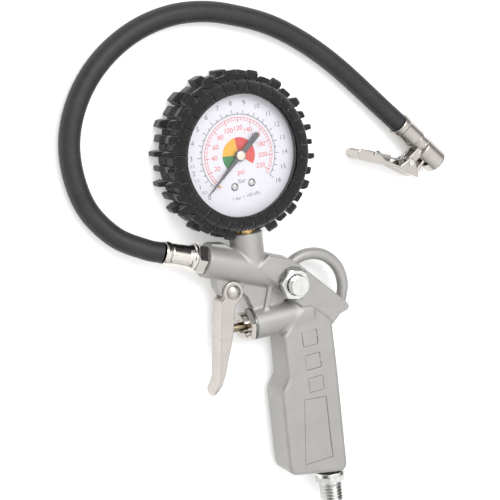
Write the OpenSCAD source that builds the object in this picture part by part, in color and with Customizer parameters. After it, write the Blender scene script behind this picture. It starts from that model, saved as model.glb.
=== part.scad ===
// Portable tire inflator lying on its side, gauge face up.
// X runs from the muzzle side to the rear, Y from the air inlet to the gauge, Z up from the table.
// The gun's plane of symmetry is parallel to the table.

/* [Placement] */
// Gauge axis from the middle of the length and width, along X
gauge_x = -4.4; // [-10:0.05:-4]
// Gauge axis along Y
gauge_y = 78; // [75:0.5:83]
// Height of the gun's plane of symmetry above the table
mid_z = 12.5; // [12:0.5:15]

/* [Gauge] */
// Visible diameter of the dial window
window_d = 62; // [60:1:63]
// Diameter over the tread blocks
boot_d = 87; // [84:1:88]
// Number of tread blocks around the boot
lug_count = 36; // [28:4:40]
// Angle of the first mark on the dial, anticlockwise from +X
zero_angle = 221; // [215:1:226]

/* [Gun body] */
// Radius of the tilted upper barrel
upper_r = 9; // [8.5:0.1:9.5]
// Tilt of the upper barrel, muzzle up
upper_tilt = 20; // [18:0.5:22]
// Radius of the valve barrel
valve_barrel_r = 8.5; // [8.2:0.1:9]
// Radius of the boss under the gauge
boss_r = 8.7; // [8:0.1:9]
// Half the thickness of the grip
grip_half = 9.5; // [9:0.1:10]
// Thickness of the hanging loop
loop_t = 6; // [5:0.5:6.5]

/* [Trigger and valve] */
// Width of the trigger lever
lever_w = 11; // [11:0.2:12]
// Sheet thickness of the trigger lever
lever_t = 1.5; // [1.2:0.1:1.6]
// Diameter of the valve stem
stem_d = 4.4; // [4:0.1:4.6]

/* [Hose and chuck] */
// Outside diameter of the hose
hose_d = 10.6; // [10:0.1:11]
// Outside diameter of the chuck head
chuck_d = 13.2; // [13:0.1:13.6]
// Diameter of the chuck mouth
mouth_d = 8.4; // [8.2:0.1:8.6]
// Depth of the mouth, down to the end of the depressor
mouth_depth = 6; // [5:0.5:7]

/* [Inlet] */
// Major diameter of the quarter inch inlet thread
inlet_d = 13.16; // [13:0.01:13.2]
// Distance across the flats of the inlet hexagon
inlet_hex = 16; // [15:0.5:17]

/* [Hidden] */
$fn = 48;

// Places named from the gauge axis and the plane of symmetry
valve_y = -89;
valve_front = -2.2;
pivot = [-12.9, -68.8];
bleed = [19.8, -70.4];
muzzle = [-25.4, -49.7];
inlet_x = 35.2;
inlet_end_y = -199.5;
boss_top_y = -40;
handle_front = 6.5;
handle_rear = 42;

// Heights inside the gauge, from the plane of symmetry
boot_back = -mid_z;
case_back = -10;
case_r = 33;
dial_z = 2.7;
lens_z = 6.4;
rim_z = 9;
window_r = window_d / 2;
sector_pitch_r = 12;
pinion_r = 1.5;
gear_gap = 0.1;
sector_dir = -60;
sector_pivot = (sector_pitch_r + pinion_r + gear_gap) * [cos(sector_dir), sin(sector_dir)];
tail_r = 5;
tube_r = 26;
tube_end = -40;
tube_sweep = 298;
screw_pos = [[-4.2, -15.6], [5.6, -14.9]];

// Chuck: X along its axis away from the hose, the lever on the -Y side
chuck_angle = -45;
chuck_pos = [103.4, 0.7, -5.5];
chuck_pivot = [17.2, -13.8];
head_shift = -1.6;
chuck_r = chuck_d / 2;
plate_in = 4.9;
plate_out = 6.2;
head_start = 19.8;
head_end = 34.5;
ferrule_l = 15.3;
chamber_r = 3.9;

// Hose route, from the gauge axis and the plane of symmetry
hose_start = 23;
rest_z = hose_d / 2 - mid_z + 0.05;
function barrel_point(s) = [muzzle[0] - s * cos(upper_tilt), muzzle[1] + s * sin(upper_tilt), 0];
route = [
  barrel_point(hose_start), [-55, -38.8, -1.4], [-68.5, -30.5, -5], [-79.5, -16, rest_z], [-84.5, 1, rest_z],
  [-84.5, 18.5, rest_z], [-79, 35, rest_z], [-69, 49.5, rest_z], [-55.5, 61, rest_z], [-39.5, 69, rest_z],
  [-21.5, 73, rest_z], [-3.5, 72.5, rest_z], [13.5, 68.5, rest_z], [29, 63, rest_z], [43, 55.5, rest_z],
  [56, 46.5, rest_z], [68, 36.5, rest_z], [80, 25, rest_z], [92, 12.5, -6.4], chuck_pos
];

// ---------- helpers ----------
module placed() {
  translate([gauge_x, gauge_y, mid_z]) children();
}

module at_chuck() {
  placed() translate(chuck_pos) rotate([0, 0, chuck_angle]) children();
}

// Along the upper barrel: X points out of the muzzle
module at_muzzle() {
  placed() translate([muzzle[0], muzzle[1], 0]) rotate([0, 0, 180 - upper_tilt]) children();
}

module at_valve() {
  placed() translate([0, valve_y, 0]) children();
}

module at_bleed() {
  placed() translate([bleed[0], bleed[1], 0]) children();
}

module rod_x(x0, x1, r) {
  translate([x0, 0, 0]) rotate([0, 90, 0]) cylinder(h = x1 - x0, r = r);
}

module rod_y(y0, y1, r) {
  translate([0, y0, 0]) rotate([-90, 0, 0]) cylinder(h = y1 - y0, r = r);
}

module rod_z(z0, z1, r) {
  translate([0, 0, z0]) cylinder(h = z1 - z0, r = r);
}

module hex_x(x0, x1, flats) {
  translate([x0, 0, 0]) rotate([0, 90, 0]) cylinder(h = x1 - x0, d = flats / cos(30), $fn = 6);
}

module tube_x(x0, x1, r_out, r_in) {
  difference() {
    rod_x(x0, x1, r_out);
    rod_x(x0 - 1, x1 + 1, r_in);
  }
}

module ring_z(z0, z1, r_out, r_in) {
  difference() {
    rod_z(z0, z1, r_out);
    rod_z(z0 - 1, z1 + 1, r_in);
  }
}

module plate(half, outline) {
  translate([0, 0, -half]) linear_extrude(2 * half) polygon(outline);
}

// Bar along Y with rounded long edges
module rounded_bar(x0, x1, y0, y1, half, r) {
  section = concat(
    arc([x1 - r, half - r], r, 0, 90, 6), arc([x0 + r, half - r], r, 90, 180, 6),
    arc([x0 + r, r - half], r, 180, 270, 6), arc([x1 - r, r - half], r, 270, 360, 6)
  );
  translate([0, y1, 0]) rotate([90, 0, 0]) linear_extrude(y1 - y0) polygon(section);
}

function unit(v) = v / norm(v);
function arc(c, r, a0, a1, n = 8) =
  [for (i = [0:n]) let (a = a0 + (a1 - a0) * i / n) c + r * [cos(a), sin(a)]];

// Point on a smooth curve through p at position t, measured in points
function spline(p, t) =
  let (i = min(floor(t), len(p) - 2), u = t - i, last = len(p) - 1)
  let (a = p[max(i - 1, 0)], b = p[i], c = p[i + 1], d = p[min(i + 2, last)])
  0.5 * ((2 * b) + (c - a) * u + (2 * a - 5 * b + 4 * c - d) * u * u + (3 * b - a - 3 * c + d) * u * u * u);

// Ring of points around a path point, square to the path
function ring_at(p, dir, r, sides) =
  let (side = unit(cross(dir, abs(dir[2]) < 0.9 ? [0, 0, 1] : [1, 0, 0])), up = cross(side, dir))
  [for (k = [0:sides - 1]) p + r * (cos(360 * k / sides) * side + sin(360 * k / sides) * up)];

function path_dir(path, i) = unit(path[min(i + 1, len(path) - 1)] - path[max(i - 1, 0)]);

// Round bar of radius r swept along a list of points
module sweep(path, r, sides) {
  n = len(path);
  points = [for (i = [0:n - 1]) each ring_at(path[i], path_dir(path, i), r, sides)];
  sides_faces = [for (i = [0:n - 2]) for (k = [0:sides - 1])
    let (a = i * sides + k, b = i * sides + (k + 1) % sides)
    each [[a, b, b + sides], [a, b + sides, a + sides]]];
  first = [[for (k = [0:sides - 1]) sides - 1 - k]];
  last = [[for (k = [0:sides - 1]) (n - 1) * sides + k]];
  polyhedron(points, concat(first, sides_faces, last), convexity = 6);
}

function helix(r, z0, z1, turns, steps, start = 0) =
  [for (i = [0:turns * steps]) [r * cos(start + 360 * i / steps), r * sin(start + 360 * i / steps),
    z0 + (z1 - z0) * i / (turns * steps)]];

// ---------- gun body ----------
head_half = 8.2;
web_half = 3.2;
rib_half = 5;
ear_half = 3.7;
panel_depth = 0.5;
rib_outline = [[8, -68], [11.5, -68], [6.8, -82.5], [3.4, -82.5]];
head_outline = [
  [1, -58], [8, -52.8], [21.5, -58], [25.5, -61.5], [49.5, -85], [52.4, -88.2], [53, -90.2], [51.6, -91.8],
  [47, -93], [43.6, -96], [41.8, -101.5], [41.5, -108], [13, -108], [12.5, -92], [13, -80.6], [19.5, -79.4],
  [9, -67]
];
web_outline = [
  [-8, -60], [10, -66], [20, -79], [4, -84], [0.3, -84], [0.3, -80.4], [-1.6, -80.2], [-4, -74.5], [-7, -71],
  [-12, -66]
];
ear_outline = concat(
  [[-21, -52], [-21, -60], [-21, -66], [-19, -70]],
  arc(pivot, 4.2, 205, 360),
  [[-5, -66], [-3, -58]]
);
grip_outline = concat(
  [[11, -90], [11, -120.5], [9.6, -123.5], [handle_front + 0.8, -126.5], [handle_front - 0.2, -129.5]],
  arc([handle_front + 5.5, -170], 5.7, 180, 258),
  arc([handle_rear - 4, -176.8], 4.2, 262, 360),
  [[handle_rear + 0.2, -90]]
);
loop_outline = concat(
  [[20, -62]], arc([35.2, -78.4], 22.8, 128, -10, 20), [[55.2, -90], [50, -90]],
  arc([34.7, -79], 17.1, -18, 118, 20), [[24.5, -66]]
);

module panel_recesses() {
  for (k = [0:2]) {
    translate([22.8 + 0.3 * k, -106 - 12.7 * k, grip_half - panel_depth]) cube([8.2, 7.8, 5]);
  }
  translate([0, 0, grip_half - panel_depth]) {
    linear_extrude(5) polygon([[19.4, -134.5], [32.6, -135.5], [33.2, -170.5], [16, -170.5]]);
  }
}

module body_solid() {
  // upper barrel, stem boss and valve barrel
  translate([muzzle[0], muzzle[1], 0]) rotate([0, 0, -upper_tilt]) rod_x(0, 46, upper_r);
  rod_y(-60, boss_top_y, boss_r);
  translate([0, valve_y, 0]) rod_x(valve_front, 22, valve_barrel_r);
  plate(head_half, head_outline);
  plate(web_half, web_outline);
  plate(rib_half, rib_outline);
  plate(ear_half, ear_outline);
  plate(loop_t / 2, loop_outline);
  intersection() {
    plate(grip_half + 1, grip_outline);
    union() {
      rounded_bar(handle_front, handle_rear, -190, -122, grip_half, 4.5);
      rounded_bar(11.5, handle_rear + 0.1, -125, -98, grip_half - 0.1, 4.5);
    }
  }
}

module gun_body() {
  color("silver") placed() difference() {
    body_solid();
    panel_recesses();
    // outlet passage and the thread for the hose nipple
    translate([muzzle[0], muzzle[1], 0]) rotate([0, 0, -upper_tilt]) {
      rod_x(-1, 10, 4.9);
      rod_x(9, 48, 2.5);
    }
    // thread for the gauge stem and its passage
    rod_y(-50, boss_top_y + 1, 4.9);
    rod_y(-60, -49, 2);
    // bleed valve port
    translate([bleed[0], bleed[1], 0]) {
      rod_z(-6, 12, 4);
      rod_z(8.4, 12, 8.8);
    }
    // valve chamber, stem guide and spring pocket
    translate([0, valve_y, 0]) {
      rod_x(valve_front - 1, 10, 5.5);
      rod_x(9, 15, 3.5);
      rod_x(14.5, 34, 5.2);
    }
    // passage from the stem side of the seat to the outlet
    translate([12, 0, 0]) rod_y(valve_y, -62, 1.8);
    // air channel through the grip, and the inlet thread
    translate([inlet_x, 0, 0]) {
      rod_y(-184, valve_y + 3, 3);
      rod_y(-190, -168, 5.6);
      rod_y(-190, -181.2, 9.4);
    }
    // trigger pin
    translate([pivot[0], pivot[1], 0]) rod_z(-10, 10, 2.03);
  }
}

// ---------- air inlet ----------
module inlet_fitting() {
  color("gainsboro") placed() translate([inlet_x, 0, 0]) difference() {
    union() {
      rod_y(-183.2, -169, 5.55);
      translate([0, -187, 0]) rotate([-90, 0, 0]) cylinder(h = 4.2, d = inlet_hex / cos(30), $fn = 6);
      rod_y(-188.6, -186.8, 5.8);
      rod_y(inlet_end_y + 1, -188.4, inlet_d / 2);
      rod_y(inlet_end_y, inlet_end_y + 1.5, 5.6);
      for (k = [0:4]) {
        rod_y(inlet_end_y + 1.4 + 2 * k, inlet_end_y + 2.2 + 2 * k, inlet_d / 2);
      }
    }
    rod_y(inlet_end_y - 1, -160, 3.5);
  }
}

module inlet_washer() {
  color("black") placed() translate([inlet_x, 0, 0]) difference() {
    rod_y(-182.75, -181.3, 7.6);
    rod_y(-190, -170, 5.7);
  }
}

// ---------- trigger valve ----------
module valve_cap() {
  color("gainsboro") at_valve() difference() {
    union() {
      hex_x(valve_front - 3.9, valve_front - 1.2, 15);
      rod_x(valve_front - 7, valve_front - 3.8, 6.9);
      rod_x(valve_front - 1.3, 8.5, 5.45);
    }
    rod_x(-12, 3, stem_d / 2 + 0.9);
    translate([valve_front - 8, -2.5, -8]) cube([3.7, 5, 16]);
    rod_x(-20, 20, stem_d / 2 + 0.05);
    rod_x(4.4, 9, 3.6);
  }
}

module cap_washer() {
  color("dimgray") at_valve() tube_x(valve_front - 1.15, valve_front - 0.05, 8.4, 5.6);
}

module valve_stem() {
  color("darkgoldenrod") at_valve() {
    rod_x(-20.4, 8.5, stem_d / 2);
    rod_x(8.4, 14.7, 1.5);
    rod_x(14.6, 17.9, 2.6);
    rod_x(17.8, 22, 1.5);
  }
}

module stem_seal() {
  color("black") at_valve() rotate([0, 90, 0]) translate([0, 0, 6.2]) rotate_extrude() {
    translate([stem_d / 2 + 0.7, 0]) circle(0.65);
  }
}

module valve_poppet() {
  color("black") at_valve() difference() {
    rod_x(14.55, 17.8, 4.6);
    rod_x(14, 19, 2.65);
  }
}

module valve_spring() {
  color("lightgray") at_valve() rotate([0, 90, 0]) sweep(helix(3.5, 18.3, 33.5, 5, 14), 0.4, 6);
}

// ---------- trigger ----------
lever_front = [[-19.9, -72.8], [-22, -83.5], [-23.9, -96.8], [-26.3, -112.7], [-28.6, -117.6], [-28.2, -121]];
lever_back = [
  [-27, -118.6], [-24.6, -115.4], [-22.8, -111.3], [-19.9, -103], [-17.3, -94.8], [-15.2, -88.3],
  [-13.4, -76.5], [-11, -73.9]
];
lever_hollow = [
  [-20.4, -60], [-19.4, -71.2], [-18.3, -72.8], [-20.4, -83.5], [-22.3, -96.8], [-24.7, -112.7],
  [-26.9, -116.9], [-20, -117.5], [-5, -95], [-5, -60]
];

module trigger_lever() {
  side = concat(lever_front, lever_back, arc(pivot, 5.2, -50, 205, 14));
  color("gainsboro") placed() difference() {
    plate(lever_w / 2, side);
    plate(lever_w / 2 - lever_t, lever_hollow);
    translate([pivot[0], pivot[1], 0]) rod_z(-10, 10, 2.08);
  }
}

module trigger_pin() {
  color("gainsboro") placed() translate([pivot[0], pivot[1], 0]) {
    rod_z(-lever_w / 2 - 0.3, lever_w / 2 + 0.3, 2);
    rod_z(lever_w / 2 + 0.15, lever_w / 2 + 1.6, 3.3);
    rod_z(-lever_w / 2 - 1.6, -lever_w / 2 - 0.15, 3.3);
  }
}

// ---------- bleed valve ----------
module bleed_body() {
  color("gainsboro") at_bleed() difference() {
    union() {
      rod_z(-1.5, 9.6, 3.95);
      translate([0, 0, 9.5]) rotate([0, 0, -13]) cylinder(h = 3.7, d = 15 / cos(30), $fn = 6);
    }
    rod_z(10.5, 20, 5.6);
    rod_z(2.9, 11, 2.6);
    rod_z(-5, 3, 1.3);
  }
}

module bleed_washer() {
  color("gray") at_bleed() ring_z(8.45, 9.45, 7.9, 4);
}

module release_button() {
  color("gainsboro") at_bleed() {
    rod_z(13, 17.6, 5.2);
    rod_z(9.9, 13.1, 2.5);
    rod_z(-3.3, 10, 0.9);
  }
}

module bleed_poppet() {
  color("black") at_bleed() ring_z(-3.3, -1.6, 2.4, 0.92);
}

module bleed_spring() {
  color("lightgray") at_bleed() sweep(helix(1.9, 3.3, 9.5, 5, 12), 0.3, 6);
}

// ---------- gauge ----------
boot_floor_r = 38.2;
lug_w = 3.8;
lug_top = 6.7;
short_step = 2.3;

module tread_block(a, r_out) {
  rotate([0, 0, a]) translate([boot_floor_r - 2, -lug_w / 2, boot_back + 0.3]) {
    cube([r_out - boot_floor_r + 2, lug_w, lug_top - boot_back - 0.3]);
  }
}

// Long and short blocks take turns, none where the boot sits on the boss
module rubber_boot() {
  pitch = 360 / lug_count;
  color("#2b2b2b") placed() difference() {
    union() {
      rotate_extrude() polygon([
        [12, boot_back], [boot_floor_r, boot_back], [boot_floor_r, 5], [36, rim_z + 1.3],
        [33.4, rim_z + 1.5], [window_r + 0.2, rim_z], [window_r + 0.2, rim_z - 0.3],
        [case_r + 1.2, rim_z - 0.3], [case_r + 1.2, case_back - 0.3], [12, case_back - 0.3]
      ]);
      for (i = [0:lug_count - 1]) {
        if (abs(i * pitch - 270) > 15) {
          tread_block(i * pitch, boot_d / 2 - (i % 2 == 0 ? short_step : 0));
        }
      }
    }
    rod_y(-50, -39.3, boss_r + 0.4);
    rod_y(-45, -30, 5.8);
  }
}

module gauge_case() {
  color("#303030") placed() difference() {
    rod_z(case_back, 4.4, case_r);
    rod_z(case_back + 0.9, 6, case_r - 0.9);
    rod_y(-40, -20, 7.6);
  }
}

module bezel() {
  color("#262626") placed() difference() {
    rotate_extrude() polygon([
      [case_r + 0.05, -1], [case_r + 0.95, -1], [case_r + 0.95, rim_z - 0.4], [window_r + 0.4, rim_z - 0.4],
      [window_r + 0.4, rim_z - 1], [case_r + 0.05, rim_z - 1]
    ]);
    rod_y(-40, -20, 5.6);
  }
}

module lens_gasket() {
  color("black") placed() ring_z(4.45, lens_z - 0.05, case_r - 0.1, window_r + 0.2);
}

module lens() {
  color([0.9, 0.95, 1, 0.3]) placed() rod_z(lens_z, lens_z + 1.5, case_r - 0.2);
}

module dial() {
  color("white") placed() difference() {
    rod_z(dial_z - 0.5, dial_z, case_r - 1.1);
    rod_z(0, 5, 1.6);
    for (p = screw_pos) {
      translate([p[0], p[1], 0]) rod_z(0, 5, 1.15);
    }
  }
}

module dial_screws() {
  color("silver") placed() for (p = screw_pos) {
    translate([p[0], p[1], 0]) difference() {
      union() {
        rod_z(-0.6, dial_z + 0.02, 1.05);
        rod_z(dial_z + 0.02, dial_z + 1.2, 2.1);
      }
      translate([-2.5, -0.3, dial_z + 0.8]) cube([5, 0.6, 2]);
    }
  }
}

module stop_pin() {
  color("gold") placed() rotate([0, 0, zero_angle + 5.2]) translate([19.2, 0, 0]) {
    rod_z(dial_z + 0.02, 5.4, 0.6);
  }
}

module pointer() {
  color("dimgray") placed() rotate([0, 0, zero_angle]) difference() {
    union() {
      translate([0, 0, 4.3]) linear_extrude(0.6) polygon(concat(
        [[26, 0.15], [1.5, 1.1]], arc([-13.5, 0], 1.5, 90, 270, 10), [[1.5, -1.1], [26, -0.15]]
      ));
      rod_z(4.3, 4.9, 2.9);
      rod_z(3.3, 4.5, 1.4);
    }
    rod_z(3, 6, 0.62);
  }
}

module pointer_cap() {
  color("wheat") placed() difference() {
    rod_z(4.95, 6.1, 2.3);
    rod_z(6, 6.3, 0.5);
  }
}

module arbor() {
  color("gold") placed() {
    rod_z(-7.6, 4.93, 0.6);
    rod_z(-4.5, -2.2, pinion_r);
  }
}

module at_sector() {
  placed() translate([sector_pivot[0], sector_pivot[1], 0]) rotate([0, 0, 180 + sector_dir]) children();
}

module sector_gear() {
  at_sector() {
    color("goldenrod") difference() {
      union() {
        translate([0, 0, -3.8]) linear_extrude(0.9) polygon(concat(
          arc([0, 0], sector_pitch_r, -38, 10, 14), [[9, 1.4], [2.2, 1.6], [-tail_r, 1.2]],
          arc([-tail_r, 0], 1.2, 90, 270, 6), [[-tail_r, -1.2], [2.2, -1.6], [8, -4.6]]
        ));
        rod_z(-3.9, -2.4, 1.8);
        translate([-tail_r, 0, 0]) rod_z(-5.4, -3.7, 0.6);
      }
      rod_z(-8, 2, 0.65);
    }
  }
}

module link() {
  tail = sector_pivot + tail_r * [cos(sector_dir), sin(sector_dir)];
  tip = tube_r * [cos(tube_end), sin(tube_end)];
  reach = norm(tip - tail);
  turn = atan2(tip[1] - tail[1], tip[0] - tail[0]);
  color("goldenrod") placed() translate([tail[0], tail[1], -5.2]) rotate([0, 0, turn]) difference() {
    union() {
      translate([0, -1.5, 0]) cube([reach, 3, 0.5]);
      cylinder(h = 0.5, r = 1.5);
      translate([reach, 0, 0]) cylinder(h = 0.5, r = 4.4);
    }
    translate([0, 0, -1]) cylinder(h = 3, r = 0.95);
    translate([reach, 0, -1]) cylinder(h = 3, r = 3.6);
  }
}

module hairspring() {
  turns = 3;
  steps = 20;
  thick = 0.2;
  function coil_point(i, r0) = (r0 + 0.9 * i / steps) * [cos(360 * i / steps), sin(360 * i / steps)];
  inner = [for (i = [0:turns * steps]) coil_point(i, 2.2)];
  outer = [for (i = [turns * steps:-1:0]) coil_point(i, 2.2 + thick)];
  color("gold") placed() translate([0, 0, -1.6]) linear_extrude(0.8) polygon(concat(inner, outer));
}

module movement_plates() {
  pillars = [[-9, -5], [11.5, -4], [-5, 9]];
  outline = [[-8, -19], [9, -19], [13.5, -9], [13.5, -4], [6, 10], [-7, 11], [-11, 2], [-11, -15]];
  color("goldenrod") placed() difference() {
    union() {
      translate([0, 0, -7.4]) linear_extrude(1.38) polygon(outline);
      translate([0, 0, 0.2]) linear_extrude(1.2) polygon(outline);
      for (p = pillars) {
        translate([p[0], p[1], 0]) rod_z(-6.3, 0.3, 1.2);
      }
      translate([sector_pivot[0], sector_pivot[1], 0]) rod_z(-6.3, 0.3, 0.6);
    }
    rod_z(-9, 3, 0.66);
    for (p = screw_pos) {
      translate([p[0], p[1], -0.8]) cylinder(h = 3, r = 1.1);
    }
  }
}

module bourdon_tube() {
  color("darkgoldenrod") placed() {
    translate([0, 0, -4]) rotate([0, 0, tube_end]) rotate_extrude(angle = tube_sweep) {
      translate([tube_r - 1.1, 0]) square([2.2, 5.5]);
    }
    rotate([0, 0, tube_end]) translate([tube_r, 0, 0]) rod_z(-5.4, -3.9, 0.6);
  }
}

module gauge_socket() {
  color("darkgoldenrod") placed() difference() {
    union() {
      translate([-6.7, -30, -6]) cube([13.4, 13.6, 5.2]);
      translate([-6.7, -30, -6]) cube([13.4, 5.8, 8]);
      translate([-5, -33.2, -5]) cube([10, 3.4, 7]);
      rod_y(boss_top_y + 0.02, -33.1, 5.2);
      rod_y(-49.5, boss_top_y + 0.1, 4.86);
    }
    rod_y(-50, -27, 1.5);
    rotate([0, 0, tube_end]) translate([0, 0, -4.05]) rotate_extrude(angle = tube_sweep + 1) {
      translate([tube_r - 1.15, 0]) square([2.3, 5.6]);
    }
  }
}

// ---------- hose ends ----------
module hose_nipple() {
  color("gainsboro") at_muzzle() difference() {
    union() {
      rod_x(-9.5, 0.3, 4.85);
      hex_x(0.2, 5.4, 14);
      rod_x(5.3, 8.2, 4);
    }
    rod_x(-12, 10, 1.8);
  }
}

module gun_ferrule() {
  color("gainsboro") at_muzzle() rotate([0, 90, 0]) rotate_extrude() polygon([
    [4.05, 5.5], [7.5, 5.5], [7.5, 7.4], [5.9, 9.4], [5.8, 18], [6.3, 18.6], [6.3, hose_start - 0.1],
    [3, hose_start - 0.1], [3, 8.3], [4.05, 8.3]
  ]);
}

module hose() {
  rings = 34;
  curve = [for (i = [0:rings]) spline(route, (len(route) - 1) * i / rings)];
  color("#1f1f1f") placed() sweep(curve, hose_d / 2, 12);
}

module chuck_ferrule() {
  color("gainsboro") at_chuck() rotate([0, 90, 0]) rotate_extrude() polygon([
    [3.05, 0.05], [6, 0.05], [6, 3.6], [5.5, 4.2], [5.5, 8], [6.15, 9.5], [6.15, ferrule_l - 1],
    [5.6, ferrule_l], [3.05, ferrule_l]
  ]);
}

// ---------- chuck ----------
module chuck_body() {
  color("gainsboro") at_chuck() difference() {
    union() {
      rod_x(1, ferrule_l + 0.2, 3);
      rod_x(ferrule_l + 0.05, head_start + 0.5, 5.1);
      translate([0, head_shift, 0]) rotate([0, 90, 0]) rotate_extrude() polygon(concat(
        [[0, head_start], [5.2, head_start], [chuck_r, head_start + 1.4], [chuck_r, head_end - 2.5]],
        arc([chuck_r - 2.5, head_end - 2.5], 2.5, 0, 90, 6), [[0, head_end]]
      ));
      for (s = [-1, 1]) {
        translate([0, 0, s * 3.5 - 0.8]) linear_extrude(1.6) polygon([
          [ferrule_l + 0.6, -4], [14, -10], [14.2, -16], [16, -17], [19.6, -16], [22, -7.6], [22, -4]
        ]);
      }
    }
    translate([0, head_shift, 0]) {
      rod_x(head_end - mouth_depth, head_end + 1, mouth_d / 2);
      rod_x(22.4, head_end - mouth_depth + 0.1, chamber_r);
    }
    rod_x(0, 40, 1.3);
    translate([23.6, head_shift - chuck_r - 1, -4.1]) cube([4.8, chuck_r, 8.2]);
    translate([chuck_pivot[0], chuck_pivot[1], 0]) rod_z(-10, 10, 1.28);
  }
}

module chuck_seal() {
  color("black") at_chuck() translate([0, head_shift, 0]) tube_x(22.45, 23.4, chamber_r - 0.05, 1.8);
}

module core_depressor() {
  color("goldenrod") at_chuck() translate([0, head_shift, 0]) difference() {
    union() {
      rod_x(22.42, head_end - mouth_depth - 0.3, 0.9);
      rod_x(22.42, 22.9, 1.75);
    }
    rod_x(20, 27, 0.4);
  }
}

lever_plate = [
  [12.5, -19.4], [15.3, -11.2], [18.4, -10.8], [20.6, -12], [25.2, -16], [25.8, -17.6], [24.6, -17.9],
  [10.3, -21.6], [-11.2, -31.6], [-14.5, -29.4], [-14.5, -27.6], [-9, -24.6], [-2.5, -22], [2, -22.6],
  [7, -21]
];

module chuck_lever() {
  claw = [[24.2, -17.6], [25.8, -17.4], [25.8, -6.1], [24.2, -6.1]];
  hollow = [
    [-16, -26], [10, -8], [30, -8], [30, -19], [24, -16.2], [10.8, -20.2], [-11, -30.2], [-16, -27.9]
  ];
  color("gainsboro") at_chuck() difference() {
    union() {
      plate(plate_out, lever_plate);
      plate(3.4, claw);
    }
    difference() {
      plate(plate_in, hollow);
      plate(3.4, claw);
    }
    translate([chuck_pivot[0], chuck_pivot[1], 0]) rod_z(-10, 10, 1.3);
  }
}

module chuck_pin() {
  color("silver") at_chuck() translate([chuck_pivot[0], chuck_pivot[1], 0]) {
    rod_z(-plate_out - 0.4, plate_out + 0.4, 1.25);
  }
}

module chuck_spring() {
  coil = helix(2.6, -2, 2, 4, 14, 100);
  color("silver") at_chuck() {
    translate([chuck_pivot[0], chuck_pivot[1], 0]) sweep(coil, 0.5, 6);
  }
}

gun_body();
inlet_fitting();
inlet_washer();
valve_cap();
cap_washer();
valve_stem();
stem_seal();
valve_poppet();
valve_spring();
trigger_lever();
trigger_pin();
bleed_body();
bleed_washer();
release_button();
bleed_poppet();
bleed_spring();
rubber_boot();
gauge_case();
bezel();
lens_gasket();
lens();
dial();
dial_screws();
stop_pin();
pointer();
pointer_cap();
arbor();
sector_gear();
link();
hairspring();
movement_plates();
bourdon_tube();
gauge_socket();
hose_nipple();
gun_ferrule();
hose();
chuck_ferrule();
chuck_body();
chuck_seal();
core_depressor();
chuck_lever();
chuck_pin();
chuck_spring();
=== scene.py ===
import math
import bpy
import numpy as np
import openvdb
from mathutils import Matrix, Vector


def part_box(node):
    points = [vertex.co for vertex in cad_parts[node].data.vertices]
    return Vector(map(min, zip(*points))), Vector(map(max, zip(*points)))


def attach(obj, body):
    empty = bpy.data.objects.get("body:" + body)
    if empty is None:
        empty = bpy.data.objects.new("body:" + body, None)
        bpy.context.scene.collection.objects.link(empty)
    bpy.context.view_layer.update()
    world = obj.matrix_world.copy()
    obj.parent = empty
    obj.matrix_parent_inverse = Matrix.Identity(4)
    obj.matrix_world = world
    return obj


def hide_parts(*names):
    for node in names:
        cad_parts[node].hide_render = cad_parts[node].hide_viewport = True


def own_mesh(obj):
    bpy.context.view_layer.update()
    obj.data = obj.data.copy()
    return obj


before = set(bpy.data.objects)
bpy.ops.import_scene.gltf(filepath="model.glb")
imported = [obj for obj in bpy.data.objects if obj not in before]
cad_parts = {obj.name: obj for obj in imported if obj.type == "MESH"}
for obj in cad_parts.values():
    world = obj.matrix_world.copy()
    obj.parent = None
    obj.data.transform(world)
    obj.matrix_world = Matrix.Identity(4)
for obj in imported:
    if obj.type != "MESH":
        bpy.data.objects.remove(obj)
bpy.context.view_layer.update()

# Lengths are millimetres from the gauge axis and the gun's plane of symmetry, unless a name says metres.


def middle(node):
    low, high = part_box(node)
    return [(low[i] + high[i]) / 2 for i in range(3)]


GAUGE = middle("lens")
ORIGIN = np.array([GAUGE[0], GAUGE[1], middle("trigger_pin")[2]])
SHIFT = Matrix.Translation(Vector(ORIGIN)) @ Matrix.Scale(0.001, 4)


def metres(point):
    return Vector([ORIGIN[i] + point[i] * 0.001 for i in range(3)])


# ---------- camera and hose ----------
EYE = (-263.81, 79.07, 538.38)
camera_data = bpy.data.cameras.new("camera")
camera_data.lens = 85.38
camera_data.sensor_width = 36
camera_data.clip_start = 0.02
camera_data.clip_end = 20
camera = bpy.data.objects.new("camera", camera_data)
bpy.context.scene.collection.objects.link(camera)
camera.matrix_world = Matrix.Translation(metres(EYE)) @ Matrix((
    (0.8809, 0.1925, -0.4324, 0),
    (-0.1091, 0.9715, 0.2103, 0),
    (0.4605, -0.1381, 0.8768, 0),
    (0, 0, 0, 1),
))
bpy.context.scene.camera = camera

MUZZLE = (-25.4, -49.7)
TILT = math.radians(20)
HOSE_START = 23
HOSE_D = 10.6
TABLE = -ORIGIN[2] * 1000
LOW = HOSE_D / 2 + TABLE + 0.05
CHUCK = (103.4, 0.7, -5.5)
# the hose's route in the CAD model
ROUTE = [
    (MUZZLE[0] - HOSE_START * math.cos(TILT), MUZZLE[1] + HOSE_START * math.sin(TILT), 0),
    (-55, -38.8, -1.4), (-68.5, -30.5, -5), (-79.5, -16, LOW), (-84.5, 1, LOW), (-84.5, 18.5, LOW), (-79, 35, LOW),
    (-69, 49.5, LOW), (-55.5, 61, LOW), (-39.5, 69, LOW), (-21.5, 73, LOW), (-3.5, 72.5, LOW), (13.5, 68.5, LOW),
    (29, 63, LOW), (43, 55.5, LOW), (56, 46.5, LOW), (68, 36.5, LOW), (80, 25, LOW), (92, 12.5, -6.4), CHUCK,
]


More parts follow.
